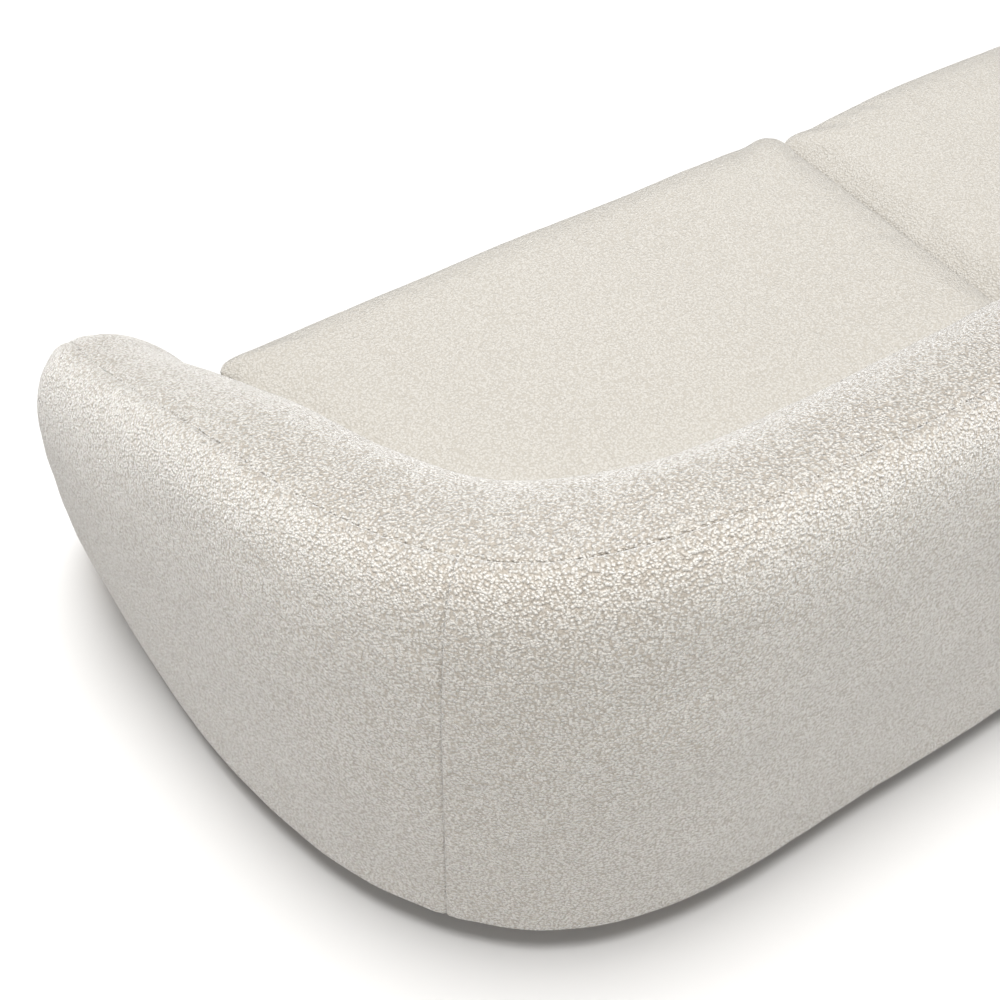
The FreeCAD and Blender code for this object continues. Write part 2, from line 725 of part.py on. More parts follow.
def plate_screw(x, y):
    shank = Part.makeCylinder(SCREW_RADIUS, SCREW_LENGTH + PLATE, Vec(x, y, HEM_Z - PLATE))
    head = Part.makeCone(SCREW_HEAD_RADIUS - 1, SCREW_HEAD_RADIUS, SCREW_HEAD,
                         Vec(x, y, HEM_Z - PLATE - SCREW_HEAD))
    return shank.fuse(head)


def fixing_holes(x, y):
    """Holes in the wood above one leg: one for the bolt, four for the screws."""
    holes = [Part.makeCylinder(BOLT_RADIUS + BOLT_CLEARANCE, DRILL_DEPTH, Vec(x, y, HEM_Z - 1))]
    for sx, sy in screw_places(x, y):
        holes.append(Part.makeCylinder(SCREW_RADIUS, SCREW_LENGTH + 1, Vec(sx, sy, HEM_Z - 1)))
    return holes


def drilled(board):
    """Board with the fixing holes of every leg under it."""
    for x, y in LEG_PLACES.values():
        for hole in fixing_holes(x, y):
            if board.BoundBox.intersect(hole.BoundBox):
                board = board.cut(hole)
    return board


def leg_pieces():
    """Six legs, with their plates, bolts, screws and felt glides."""
    pieces = {}
    plates, bolts, glides, screws = [], [], [], []
    for name, (x, y) in LEG_PLACES.items():
        pieces[name] = leg(x, y)
        plates.append(leg_plate(x, y))
        bolts.append(Part.makeCylinder(BOLT_RADIUS, BOLT_TOP_Z - BOLT_BOTTOM_Z,
                                       Vec(x, y, BOLT_BOTTOM_Z)))
        glides.append(Part.makeCylinder(GLIDE_RADIUS, GLIDE, Vec(x, y, 0)))
        screws += [plate_screw(sx, sy) for sx, sy in screw_places(x, y)]
    pieces["leg_plates"] = Part.makeCompound(plates)
    pieces["leg_bolts"] = Part.makeCompound(bolts)
    pieces["leg_glides"] = Part.makeCompound(glides)
    pieces["leg_plate_screws"] = Part.makeCompound(screws)
    return pieces


# ---------------------------------------------------------------- assembly

def build():
    """All pieces of the sofa, keyed by name."""
    pieces = shell_pieces()
    pieces["nose_foam_left"] = nose_foam()
    pieces["nose_foam_right"] = mirrored(pieces["nose_foam_left"])
    for name, s in FORMER_STATIONS.items():
        pieces[name + "_left"] = former(s)
        pieces[name + "_right"] = mirrored(pieces[name + "_left"])
    seam = SEAM_STATION
    pieces["crest_rail_back"] = crest_rail(-seam + JOINT_GAP, seam - JOINT_GAP, ROWS_BACK)
    pieces["crest_rail_left"] = crest_rail(seam + JOINT_GAP, 1.0 - JOINT_GAP, ROWS_ARM)
    pieces["crest_rail_right"] = mirrored(pieces["crest_rail_left"])
    pieces["base_board_back"] = base_board_back()
    pieces["base_board_left"] = base_board_arm()
    pieces["base_board_right"] = mirrored(pieces["base_board_left"])
    pieces.update(frame_pieces())
    for name in ("base_board_back", "base_board_left", "base_board_right", "centre_leg_block"):
        pieces[name] = drilled(pieces[name])
    pieces["front_band_cover"] = front_band()
    pieces["seat_springs"] = seat_springs()
    pieces["spring_clips"] = spring_clips()
    pieces["deck_cloth"] = deck_cloth()
    pieces["dust_cover"] = dust_cover()
    pieces.update(cushion_pieces())
    pieces.update(leg_pieces())
    return pieces


def export(pieces):
    """Write one STEP file per piece."""
    os.makedirs("parts", exist_ok=True)
    for name, shape in pieces.items():
        state = "valid" if shape.isValid() else "NOT VALID"
        volume = shape.Volume / 1000.0
        print(f"{name:28s} {state} solids {len(shape.Solids)} volume {volume:10.1f} cm3")
        shape.exportStep(f"parts/{name}.step")


export(build())
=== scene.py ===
import json
import math

import bmesh
import bpy
import numpy as np
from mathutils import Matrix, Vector


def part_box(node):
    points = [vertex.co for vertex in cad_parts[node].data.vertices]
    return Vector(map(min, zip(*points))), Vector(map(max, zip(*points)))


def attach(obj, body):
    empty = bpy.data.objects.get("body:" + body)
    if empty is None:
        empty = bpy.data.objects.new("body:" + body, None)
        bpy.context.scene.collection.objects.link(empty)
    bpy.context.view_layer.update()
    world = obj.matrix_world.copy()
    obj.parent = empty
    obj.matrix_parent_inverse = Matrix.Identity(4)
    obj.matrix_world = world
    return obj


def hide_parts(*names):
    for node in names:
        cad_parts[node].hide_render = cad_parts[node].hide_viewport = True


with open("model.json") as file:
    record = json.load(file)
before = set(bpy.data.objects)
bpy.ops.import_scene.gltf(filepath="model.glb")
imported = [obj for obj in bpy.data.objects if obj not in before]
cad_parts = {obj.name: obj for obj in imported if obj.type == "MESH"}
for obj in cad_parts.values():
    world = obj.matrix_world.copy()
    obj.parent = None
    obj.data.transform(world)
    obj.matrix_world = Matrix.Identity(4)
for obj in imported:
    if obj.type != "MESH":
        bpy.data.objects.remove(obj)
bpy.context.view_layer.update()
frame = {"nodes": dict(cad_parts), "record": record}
SHELL, LEFT, RIGHT = "shell", "cushion_left", "cushion_right"
SIDES = {"left": 1.0, "right": -1.0}

# ---- the shell's driving dimensions, in metres, as in the CAD model ----
BACK_Y = 0.538
CORNER_X = 0.675
SIDE_X = 1.273
ARM_END_Y = -0.346
CORNER_POWER = 2.7
NOSE_REACH = 0.185
NOSE_POWER = 2.8
INNER_NOSE_POWER = 1.65
STATIONS = np.array((0.0, 0.28, 0.42, 0.56, 0.78, 1.0))
CREST_Z = np.array((0.735, 0.732, 0.730, 0.696, 0.657, 0.538))
CREST_INSET = np.array((0.086, 0.079, 0.083, 0.092, 0.092, 0.061))
INNER_ROLL = np.array((0.193, 0.193, 0.209, 0.246, 0.198, 0.124))
SEAM_STATION = 0.604
BLEND_STATION = 0.8
HEM_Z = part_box("outside_back_cover")[0][2]
WALL_LEAN = -0.015
WALL_RISE = 0.242
OUTER_ROLL = 0.090
NOSE_BULGE = 0.039
NOSE_RISE = 0.283
INNER_NOSE_RISE = 0.304
INNER_WALL = 0.206
INNER_LEAN = 0.030
KNEE_SHARE = 0.6
KNEE_BASE = 0.120
SHOULDER_LIFT = 0.015
SHOULDER_REACH = 0.022
WALL_FOOT_Z = 0.256
COVER = 0.003

# ---- mesh fineness and seams ----
# STEP is the usual spacing of points; SEAM_STEPS are the closer distances beside a seam
STEP = 0.009
SEAM_STEPS = np.array((0.0, 0.0012, 0.0024, 0.0038, 0.0054, 0.007,
                       0.0086, 0.0105, 0.014, 0.019, 0.026))
SEAM_DEPTH = 0.0026
SEAM_WIDTH = 0.0020
STITCH_LINE = 0.0065
STITCH_DEPTH = 0.0007
STITCH_WIDTH = 0.0013
PUFF_HEIGHT = 0.0007
PUFF_LINE = 0.017
PUFF_WIDTH = 0.009
NO_SEAM = 1.0
HEM_ROUND = 0.009
HEM_TUCK = 0.022
CALM_REACH = 0.05
BROAD_WAVE = {"size": 0.22, "amount": 0.0012}
SMALL_WAVE = {"size": 0.07, "amount": 0.00035}

# Lengths that set the number of mesh steps: of a section, and round the nose's outer and inner side
SECTION_LENGTH = 0.66
OUTER_NOSE_ARC = 0.24
INNER_NOSE_ARC = 0.33

# ---- seat cushions ----
SEAT_FRONT_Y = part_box("seat_cushion_cover_left")[0][1]
CUSHION_HALF_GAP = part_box("seat_cushion_cover_left")[0][0]
WALL_GAP = 0.006
ARM_CORNER = 0.014
GAP_CORNER = 0.034
CUSHION_SIDE = 0.010
OUTLINE_POINTS = 300
CUSHION_ROUND = 0.012
CUSHION_FOOT_SLACK = 0.001
CUSHION_TOP_SLACK = 0.002
CUSHION_VOXEL = 0.009
CUSHION_PRESSURE = 4.0
CUSHION_CAP = 0.012
CLOTH_FRAMES = 20
CLOTH_STIFFNESS = 15
CLOTH_BENDING = 0.5

# How the cushions lie after the simulation: their tops drop towards the gap and the
# arm, fill out against the arm, lean on each other, and the right-hand one is squarer at the gap
END_FALL = 0.12
ARM_DROP = 0.014
ARM_FILL_REAR = 0.012
ARM_FILL_FRONT = 0.036
ARM_FILL_REACH = 0.05
GAP_PRESS = 0.014
GAP_PRESS_REACH = 0.02
GAP_DROP = {"left": 0.001, "right": 0.034}
GAP_SQUARE = {"left": 0.0, "right": 0.013}
GAP_SQUARE_REACH = 0.03
UPPER_POWER = 1.5
TOP_WAVE = {"size": 0.28, "amount": 0.0015}
FRONT_WAVE = {"size": 0.24, "amount": 0.0010}
CUSHION_SEED = {"left": 30, "right": 60}

# ---- zips, as places along x and the half sizes of their pieces ----
ZIP_FROM, ZIP_TO, ZIP_PITCH = 0.18, 0.48, 0.004
ZIP_TOOTH = (0.0012, 0.0012, 0.0022)
ZIP_SLIDER = (0.006, 0.0035, 0.005)
ZIP_SLIDER_OUT = 0.003
ZIP_PULL = (0.003, 0.0008, 0.012)
ZIP_PULL_OUT = 0.006
ZIP_PULL_DOWN = 0.014

# ---- front band, with the padded roll on its top edge that meets the cushions' undersides ----
BAND_STEP = 0.006
BAND_TOP_SKIN = 0.0005
BAND_ROLL_EDGE = 0.004
BAND_ROLL_CROWN = 0.0035
BAND_WAVE = {"size": 0.2, "amount": 0.0006}

# ---- lining cloths ----
LINING_STEP = 0.04
LINING_WAVE = {"size": 0.3, "amount": 0.0005}

# ---- room: lamps, floor and camera ----
WORLD_STRENGTH = 0.20
KEY = {"strength": 4.3, "spread": 34.0, "height": 84.0, "azimuth": 225.0}
FILL = {"strength": 1.35, "spread": 50.0, "height": 12.0, "azimuth": 50.0}
LAMP_DISTANCE = 4.0
FLOOR_SIZE = 40.0
FLOOR_WHITE = (0.72, 0.712, 0.70, 1.0)
VIEW_PLACE = (1.4723, 1.0815, 1.77)
VIEW_LENS = 50.35
VIEW_PITCH = 48.71
VIEW_YAW = 32.46
SENSOR_WIDTH = 36.0
VIEW_FAR = 100.0

# ---- seed that the shell's panels, the band and the lining cloths count from ----
SEED = 7


# ---------------------------------------------------------------- shell shape

def eased(t):
    """A share from 0 to 1, made to start and stop gently."""
    return t * t * (3 - 2 * t)


def through(values, s):
    """Smooth value at stations s through one value per station."""
    s = np.clip(np.abs(np.asarray(s, float)), 0.0, 1.0)
    steps = np.diff(STATIONS)
    rises = np.diff(values) / steps
    slopes = np.zeros(len(values))
    for i in range(1, len(rises)):
        if rises[i - 1] * rises[i] > 0:
            slopes[i] = 2 * rises[i - 1] * rises[i] / (rises[i - 1] + rises[i])
    slopes[-1] = rises[-1]
    k = np.clip(np.searchsorted(STATIONS, s, side="right") - 1, 0, len(steps) - 1)
    t = (s - STATIONS[k]) / steps[k]
    share = eased(t)
    level = values[k] * (1 - share) + values[k + 1] * share
    bend = t * (1 - t) ** 2 * slopes[k] + t * t * (t - 1) * slopes[k + 1]
    return level + steps[k] * bend


def outline_table(count=800):
    """Left half of the plan outline, straight and then round, with the length up to each point."""
    angle = np.linspace(0.0, 0.5 * math.pi, count)
    a, b = np.sin(angle), np.abs(np.cos(angle))
    reach = (a ** CORNER_POWER + b ** CORNER_POWER) ** (-1 / CORNER_POWER)
    x = np.concatenate(((0.0,), CORNER_X + (SIDE_X - CORNER_X) * a * reach))
    y = np.concatenate(((BACK_Y,), ARM_END_Y + (BACK_Y - ARM_END_Y) * b * reach))
    lengths = np.concatenate(((0.0,), np.cumsum(np.hypot(np.diff(x), np.diff(y)))))
    return x, y, lengths


OUT_X, OUT_Y, OUT_LENGTH = outline_table()
HALF_LENGTH = OUT_LENGTH[-1]


def outline(s):
    """Plan points on the outline at stations s; negative stations are on the right-hand side."""
    want = np.clip(np.abs(s), 0.0, 1.0) * HALF_LENGTH
    x = np.interp(want, OUT_LENGTH, OUT_X)
    return np.stack((np.sign(s) * x, np.interp(want, OUT_LENGTH, OUT_Y)), axis=-1)


def outward(s, reach=0.01):
    """Unit plan directions out of the shell."""
    s = np.asarray(s, float)
    along = outline(np.minimum(s + reach, 1.0)) - outline(np.maximum(s - reach, -1.0))
    along /= np.linalg.norm(along, axis=-1, keepdims=True)
    return np.stack((-along[..., 1], along[..., 0]), axis=-1)


def nose_blend(s):
    """How far the section at stations s has turned into the nose's, from 0 to 1."""
    t = np.clip((np.abs(s) - BLEND_STATION) / (1 - BLEND_STATION), 0.0, 1.0)
    return eased(t)


def outer_section(s):
    """Bezier poles (r, z) of the outer side at station s, from the hem up to the crest."""
    m = nose_blend(s)
    inset, crest = through(CREST_INSET, s), through(CREST_Z, s)
    lean = WALL_LEAN * (1 - m) + NOSE_BULGE * m
    rise = WALL_RISE * (1 - m) + NOSE_RISE * m
    return np.array(((0.0, HEM_Z), (lean, HEM_Z + rise), (OUTER_ROLL - inset, crest), (-inset, crest)))


def inner_section(s):
    """Bezier poles (r, z) of the inner side at station s, from the wall's foot up to the crest."""
    m = nose_blend(s)
    inset, crest = through(CREST_INSET, s), through(CREST_Z, s)
    hump = 4 * m * (1 - m)
    foot_r = -inset - INNER_WALL
    foot_z = WALL_FOOT_Z * (1 - m) + HEM_Z * m
    knee_r = foot_r + INNER_LEAN * (1 - m)
    knee_z = (KNEE_SHARE * crest + KNEE_BASE) * (1 - m) + (HEM_Z + INNER_NOSE_RISE) * m
    roll = through(INNER_ROLL, s) + SHOULDER_REACH * hump
    return np.array(((foot_r, foot_z), (knee_r, knee_z + SHOULDER_LIFT * hump),
                     (-inset - roll, crest), (-inset, crest)))


def nose_section(angle, outer_side):
    """Bezier poles (r, z) round the crest's end, and their plan direction, at a fan angle."""
    inset, crest = CREST_INSET[-1], CREST_Z[-1]
    slope = (CREST_Z[-2] - CREST_Z[-1]) / (STATIONS[-1] - STATIONS[-2]) / HALF_LENGTH
    c, d = math.cos(angle), math.sin(angle)
    width, power = (inset, NOSE_POWER) if c > 0 else (INNER_WALL, INNER_NOSE_POWER)
    reach = (abs(c) ** power + abs(d) ** power) ** (-1 / power)
    fan = np.array((width * c * reach, -NOSE_REACH * d * reach))
    far = np.linalg.norm(fan)
    way = fan / far
    t = max(0.0, angle / (0.5 * math.pi) - 1)
    inner_share = eased(t)
    bulge = NOSE_BULGE * (1 - inner_share)
    knee_z = HEM_Z + NOSE_RISE * (1 - inner_share) + INNER_NOSE_RISE * inner_share
    roll = OUTER_ROLL if outer_side else OUTER_ROLL * (1 - t) + INNER_ROLL[-1] * t
    poles = np.array(((far, HEM_Z), (far + bulge, knee_z),
                      (roll, crest + slope * roll * way[1]), (0.0, crest)))
    return poles, way


def bezier(poles, count=160):
    """Points along the cubic curve of four poles."""
    t = np.linspace(0.0, 1.0, count)[:, None]
    return ((1 - t) ** 3 * poles[0] + 3 * (1 - t) ** 2 * t * poles[1]
            + 3 * (1 - t) * t ** 2 * poles[2] + t ** 3 * poles[3])


def with_hem(line):
    """Section with its lower edge rolled in under the frame."""
    inward = -1.0 if line[0][0] >= line[-1][0] else 1.0
    keep = line[line[:, 1] > HEM_Z + HEM_ROUND]
    foot = keep[0][0]
    turn = np.linspace(0.0, 0.5 * math.pi, 7)[:-1]
    arc = np.stack((foot + inward * HEM_ROUND * (1 - np.sin(turn)),
                    HEM_Z + HEM_ROUND * (1 - np.cos(turn))), axis=-1)
    tuck = np.array(((foot + inward * (HEM_ROUND + HEM_TUCK), HEM_Z),))
    return np.concatenate((tuck, arc, keep))


def spaced(total, fine_start, fine_end, count):
    """Distances along a line of length total: fine next to seams, even elsewhere."""
    head = SEAM_STEPS if fine_start else np.zeros(1)
    tail = (total - SEAM_STEPS)[::-1] if fine_end else np.array((total,))
    middle = np.linspace(head[-1], tail[0], count + 2)[1:-1]
    return np.concatenate((head, middle, tail))


def resample(line, distances_of):
    """Points on a polyline at the distances that distances_of(total length) gives."""
    steps = np.linalg.norm(np.diff(line, axis=0), axis=1)
    along = np.concatenate(((0.0,), np.cumsum(steps)))
    want = distances_of(along[-1])
    points = np.stack([np.interp(want, along, line[:, i]) for i in range(line.shape[1])], axis=-1)
    return points, along[-1] - want


def panel_rows(section_at, stations, columns, has_hem):
    """Rows of points across the shell at the stations, each from its lower edge to the crest."""
    rows, from_crest = [], []
    for s in stations:
        line = bezier(section_at(s))
        if has_hem:
            line = with_hem(line)
        section, gap = resample(line, lambda total: spaced(total, False, True, columns))
        base, way = outline(np.array(s)), outward(np.array(s))
        rows.append(np.column_stack((base + way * section[:, :1], section[:, 1])))
        from_crest.append(gap)
    return rows, from_crest


def nose_rows(angles, columns, outer_side):
    """Rows of points round the arm's nose; the seam runs down its front, over the crest's end."""
    centre = np.array((SIDE_X - CREST_INSET[-1], ARM_END_Y))
    rows, from_seam = [], []
    for angle in angles:
        poles, way = nose_section(angle, outer_side)
        line = with_hem(bezier(poles))
        section, _ = resample(line, lambda total: spaced(total, False, True, columns))
        rows.append(np.column_stack((centre + way * section[:, :1], section[:, 1])))
        from_seam.append(np.abs(way[0]) * np.abs(section[:, 0]))
    return rows, from_seam


# ---------------------------------------------------------------- soft noise

def soft_waves(points, size, amount, seed):
    """Smooth uneven height over points: a sum of seeded plane waves of about the given size."""
    rng = np.random.default_rng(seed)
    height = np.zeros(len(points))
    waves = 9
    for _ in range(waves):
        way = rng.normal(size=3)
        way /= np.linalg.norm(way)
        length = size * rng.uniform(0.7, 1.6)
        height += np.sin(points @ way * (2 * math.pi / length) + rng.uniform(0, 2 * math.pi))
    return height * amount / math.sqrt(waves)


# ---------------------------------------------------------------- mesh helpers

def new_object(name, verts, faces, smooth=True):
    """A mesh object in the scene."""
    mesh = bpy.data.meshes.new(name)
    mesh.from_pydata([tuple(v) for v in verts], [], [tuple(f) for f in faces])
    mesh.validate()
    piece = bpy.data.objects.new(name, mesh)
    bpy.context.collection.objects.link(piece)
    if smooth:
        mesh.polygons.foreach_set("use_smooth", [True] * len(mesh.polygons))
    return piece


def clean(piece, gap=0.00005):
    """Merge doubled points and make the faces point outwards."""
    work = bmesh.new()
    work.from_mesh(piece.data)
    bmesh.ops.remove_doubles(work, verts=work.verts, dist=gap)
    bmesh.ops.dissolve_degenerate(work, edges=work.edges, dist=gap * 0.1)
    bmesh.ops.recalc_face_normals(work, faces=work.faces)
    work.to_mesh(piece.data)
    work.free()
    piece.data.polygons.foreach_set("use_smooth", [True] * len(piece.data.polygons))
    return piece


def grid_normals(grid):
    """Unit normals of a grid of points, and how long each was before it was made a unit."""
    across = np.gradient(grid, axis=0)
    along = np.gradient(grid, axis=1)
    normal = np.cross(across, along)
    size = np.linalg.norm(normal, axis=-1, keepdims=True)
    return normal / np.maximum(size, 1e-12), size[..., 0]


def slab_mesh(name, outer, inner):
    """Closed thin mesh between two grids of the same size."""
    rows, cols = outer.shape[:2]
    verts = np.concatenate((outer.reshape(-1, 3), inner.reshape(-1, 3)))
    index = np.arange(rows * cols).reshape(rows, cols)
    under = index + rows * cols
    faces = []
    quads = np.stack((index[:-1, :-1], index[1:, :-1], index[1:, 1:], index[:-1, 1:]), -1).reshape(-1, 4)
    faces += quads.tolist()
    back = np.stack((under[:-1, :-1], under[:-1, 1:], under[1:, 1:], under[1:, :-1]), -1).reshape(-1, 4)
    faces += back.tolist()
    for a, b in ((index[0], under[0]), (index[-1], under[-1]), (index[:, 0], under[:, 0]),
                 (index[:, -1], under[:, -1])):
        faces += [(a[i], b[i], b[i + 1], a[i + 1]) for i in range(len(a) - 1)]
    return clean(new_object(name, verts, faces))


def points_of(mesh):
    """A mesh's points, one row each."""
    flat = np.empty(len(mesh.vertices) * 3)
    mesh.vertices.foreach_get("co", flat)
    return flat.reshape(-1, 3)


def set_points(mesh, points):
    mesh.vertices.foreach_set("co", np.ascontiguousarray(points).ravel())
    mesh.update()


def mirror_copy(piece, name):
    """Mirror image of a piece across the sofa's middle plane."""
    mesh = piece.data.copy()
    mesh.name = name
    set_points(mesh, points_of(mesh) * (-1.0, 1.0, 1.0))
    mesh.flip_normals()
    mesh.update()
    twin = bpy.data.objects.new(name, mesh)
    bpy.context.collection.objects.link(twin)
    return twin


# ---------------------------------------------------------------- shell panels

def seam_sink(distance, stitched):
    """How far the cover sinks next to a seam, with a shallow topstitched line beside it."""
    sink = SEAM_DEPTH * np.exp(-(distance / SEAM_WIDTH) ** 2)
    puff = PUFF_HEIGHT * np.exp(-((distance - PUFF_LINE) / PUFF_WIDTH) ** 2)
    if stitched:
        sink = sink + STITCH_DEPTH * np.exp(-((distance - STITCH_LINE) / STITCH_WIDTH) ** 2)
    return sink - puff


def finish_panel(name, rows, from_crest, from_corner, crest_stitched, facing, seed):
    """Closed, padded panel from its rows, sunk at its seams and slightly uneven."""
    grid = np.array(rows)
    crest_gap = np.array(from_crest)
    corner_gap = np.broadcast_to(np.array(from_corner)[:, None], crest_gap.shape)
    normal, size = grid_normals(grid)
    if normal[len(rows) // 2, grid.shape[1] // 2] @ np.array(facing) < 0:
        normal = -normal
    normal[size < 1e-8] = (0.0, 0.0, 1.0)
    sink = seam_sink(crest_gap, crest_stitched) + seam_sink(corner_gap, False)
    sink = np.minimum(sink, SEAM_DEPTH)
    calm = np.clip(np.minimum(crest_gap, corner_gap) / CALM_REACH, 0.0, 1.0)
    flat = grid.reshape(-1, 3)
    uneven = soft_waves(flat, seed=seed, **BROAD_WAVE).reshape(sink.shape)
    uneven += soft_waves(flat, seed=seed + 1, **SMALL_WAVE).reshape(sink.shape)
    outer = grid + normal * (uneven * calm - sink)[..., None]
    inner = grid - normal * (COVER + SEAM_DEPTH)
    return slab_mesh(name, outer, inner)


def even_stations(first, last, fine_first, fine_last):
    """Stations between two seams, about one mesh step apart, finer beside the seams."""
    total = (last - first) * HALF_LENGTH
    count = int(total / STEP)
    return first + spaced(total, fine_first, fine_last, count) / HALF_LENGTH


def nose_fan(columns, outer_side):
    """Rows of the nose's outer or inner half, from the arm's end to the seam down its front."""
    front_arc = OUTER_NOSE_ARC if outer_side else INNER_NOSE_ARC
    arc = spaced(front_arc, False, True, int(front_arc / STEP))[1:]
    first = 0.0 if outer_side else math.pi
    return nose_rows(first + (0.5 * math.pi - first) * arc / front_arc, columns, outer_side)


def outer_arm_panel(name):
    """Left-hand outside arm cover, from the corner seam round to the seam down the nose's front."""
    columns = int(SECTION_LENGTH / STEP)
    stations = even_stations(SEAM_STATION, 1.0, True, False)
    rows, gaps = panel_rows(outer_section, stations, columns, True)
    fan, fan_gaps = nose_fan(columns, True)
    corner = list((stations - SEAM_STATION) * HALF_LENGTH) + [NO_SEAM] * len(fan)
    return finish_panel(name, rows + fan, gaps + fan_gaps, corner, False, (1.0, 0.0, 0.0), SEED)


def outer_back_panel(name):
    """Outside back cover, from corner seam to corner seam."""
    columns = int(SECTION_LENGTH / STEP)
    stations = even_stations(-SEAM_STATION, SEAM_STATION, True, True)
    rows, gaps = panel_rows(outer_section, stations, columns, True)
    corner = list((SEAM_STATION - np.abs(stations)) * HALF_LENGTH)
    return finish_panel(name, rows, gaps, corner, False, (0.0, 1.0, 0.0), SEED + 1)


def inner_panel(name):
    """Inside cover in one piece, from the right-hand nose along both arms and the back."""
    columns = int(SECTION_LENGTH / STEP)
    stations = even_stations(0.0, 1.0, False, False)
    half, half_gaps = panel_rows(inner_section, stations, columns, False)
    fan, fan_gaps = nose_fan(columns, False)
    half += fan
    half_gaps += fan_gaps
    mirrored = [row * (-1.0, 1.0, 1.0) for row in half[:0:-1]]
    rows = mirrored + half
    gaps = half_gaps[:0:-1] + half_gaps
    return finish_panel(name, rows, gaps, [NO_SEAM] * len(rows), True, (0.0, -1.0, 0.3), SEED + 2)


def build_shell():
    """The shell's covers, in place of the CAD covers and the padding and foam under them."""
    arm = outer_arm_panel("outside_arm_left_boucle")
    back = outer_back_panel("outside_back_boucle")
    inside = inner_panel("inside_boucle")
    arms = {"left": arm, "right": mirror_copy(arm, "outside_arm_right_boucle")}
    for side, outer in arms.items():
        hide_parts("outside_arm_cover_" + side, "outer_padding_" + side)
    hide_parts("outside_back_cover", "outer_padding_back")
    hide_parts("inside_back_cover", "inside_arm_cover_left", "inside_arm_cover_right",
                "inner_foam_back", "inner_foam_left", "inner_foam_right",
                "nose_foam_left", "nose_foam_right")
    for panel in (arms["left"], arms["right"], back, inside):
        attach(panel, SHELL)
        panel.data.materials.append(BOUCLE)


# ---------------------------------------------------------------- seat cushions

def cushion_plan(inset):
    """Closed plan outline of the left-hand cushion, whose outer side follows the inner wall."""
    near_x = CUSHION_HALF_GAP + inset
    front_y = SEAT_FRONT_Y + inset
    last = 1 - (front_y + ARM_CORNER + CUSHION_SIDE - ARM_END_Y) / HALF_LENGTH
    s = np.linspace(near_x / HALF_LENGTH, min(last, 1.0), 120)
    r = -through(CREST_INSET, s) - INNER_WALL - WALL_GAP - inset
    wall = outline(s) + outward(s) * r[:, None]
    bend = np.linspace(0.0, 0.5 * math.pi, 13)
    far = np.stack((wall[-1, 0] - ARM_CORNER * (1 - np.cos(bend)),
                    front_y + ARM_CORNER * (1 - np.sin(bend))), -1)
    near = np.stack((near_x + GAP_CORNER * (1 - np.sin(bend)),
                     front_y + GAP_CORNER * (1 - np.cos(bend))), -1)
    line = np.concatenate((wall, far, near, wall[:1]))
    gaps = np.linalg.norm(np.diff(line, axis=0), axis=1)
    along = np.concatenate(((0.0,), np.cumsum(gaps)))
    want = np.linspace(0.0, along[-1], OUTLINE_POINTS + 1)[:-1]
    return np.stack((np.interp(want, along, line[:, 0]), np.interp(want, along, line[:, 1])), -1)


def rounded_block(name, low, high):
    """Closed block over the cushion's plan, its top and bottom edges rounded."""
    rings = []
    bend = np.linspace(0.0, 0.5 * math.pi, 7)
    for t in bend:
        rings.append((CUSHION_ROUND * (1 - math.sin(t)), low + CUSHION_ROUND * (1 - math.cos(t))))
    for t in bend[::-1]:
        rings.append((CUSHION_ROUND * (1 - math.sin(t)), high - CUSHION_ROUND * (1 - math.cos(t))))
    count = OUTLINE_POINTS
    verts, faces = [], []
    for inset, z in rings:
        verts += [(x, y, z) for x, y in cushion_plan(inset)]
    for k in range(len(rings) - 1):
        for i in range(count):
            j = (i + 1) % count
            a, b = k * count, (k + 1) * count
            faces.append((a + i, a + j, b + j, b + i))
    faces.append(tuple(range(count))[::-1])
    faces.append(tuple(range((len(rings) - 1) * count, len(rings) * count)))
    return clean(new_object(name, verts, faces))


def evaluated(piece):
    """A copy of a piece's mesh with its modifiers worked in."""
    graph = bpy.context.evaluated_depsgraph_get()
    graph.update()
    return bpy.data.meshes.new_from_object(piece.evaluated_get(graph))


def take_mesh(piece, mesh):
    """Give a piece a finished mesh in place of its own mesh and modifiers."""
    piece.modifiers.clear()
    piece.data = mesh
    mesh.polygons.foreach_set("use_smooth", [True] * len(mesh.polygons))


def remesh(piece, voxel):
    """Rebuild a piece's mesh from small even faces."""
    even = piece.modifiers.new("even", "REMESH")
    even.mode = "VOXEL"
    even.voxel_size = voxel
    take_mesh(piece, evaluated(piece))


def swell(piece, pressure, cap):
    """Let a closed mesh swell as cloth under pressure, no point moving further than the cap."""
    start = points_of(piece.data)
    cloth = piece.modifiers.new("swell", "CLOTH")
    settings = cloth.settings
    settings.use_pressure = True
    settings.uniform_pressure_force = pressure
    settings.effector_weights.gravity = 0.0
    settings.quality = 5
    settings.tension_stiffness = CLOTH_STIFFNESS
    settings.compression_stiffness = CLOTH_STIFFNESS
    settings.bending_stiffness = CLOTH_BENDING
    cloth.collision_settings.use_collision = False
    cloth.point_cache.frame_start = 1
    cloth.point_cache.frame_end = CLOTH_FRAMES
    for step in range(1, CLOTH_FRAMES + 1):
        bpy.context.scene.frame_set(step)
    mesh = evaluated(piece)
    bpy.context.scene.frame_set(1)
    moved = points_of(mesh) - start
    size = np.linalg.norm(moved, axis=1, keepdims=True)
    limited = start + moved * np.minimum(1.0, cap / np.maximum(size, 1e-9))
    set_points(mesh, limited)
    take_mesh(piece, mesh)


def fading(distance, reach):
    """A share that is 1 at no distance and falls away over about the given reach."""
    return np.exp(-np.maximum(distance, 0.0) / reach)


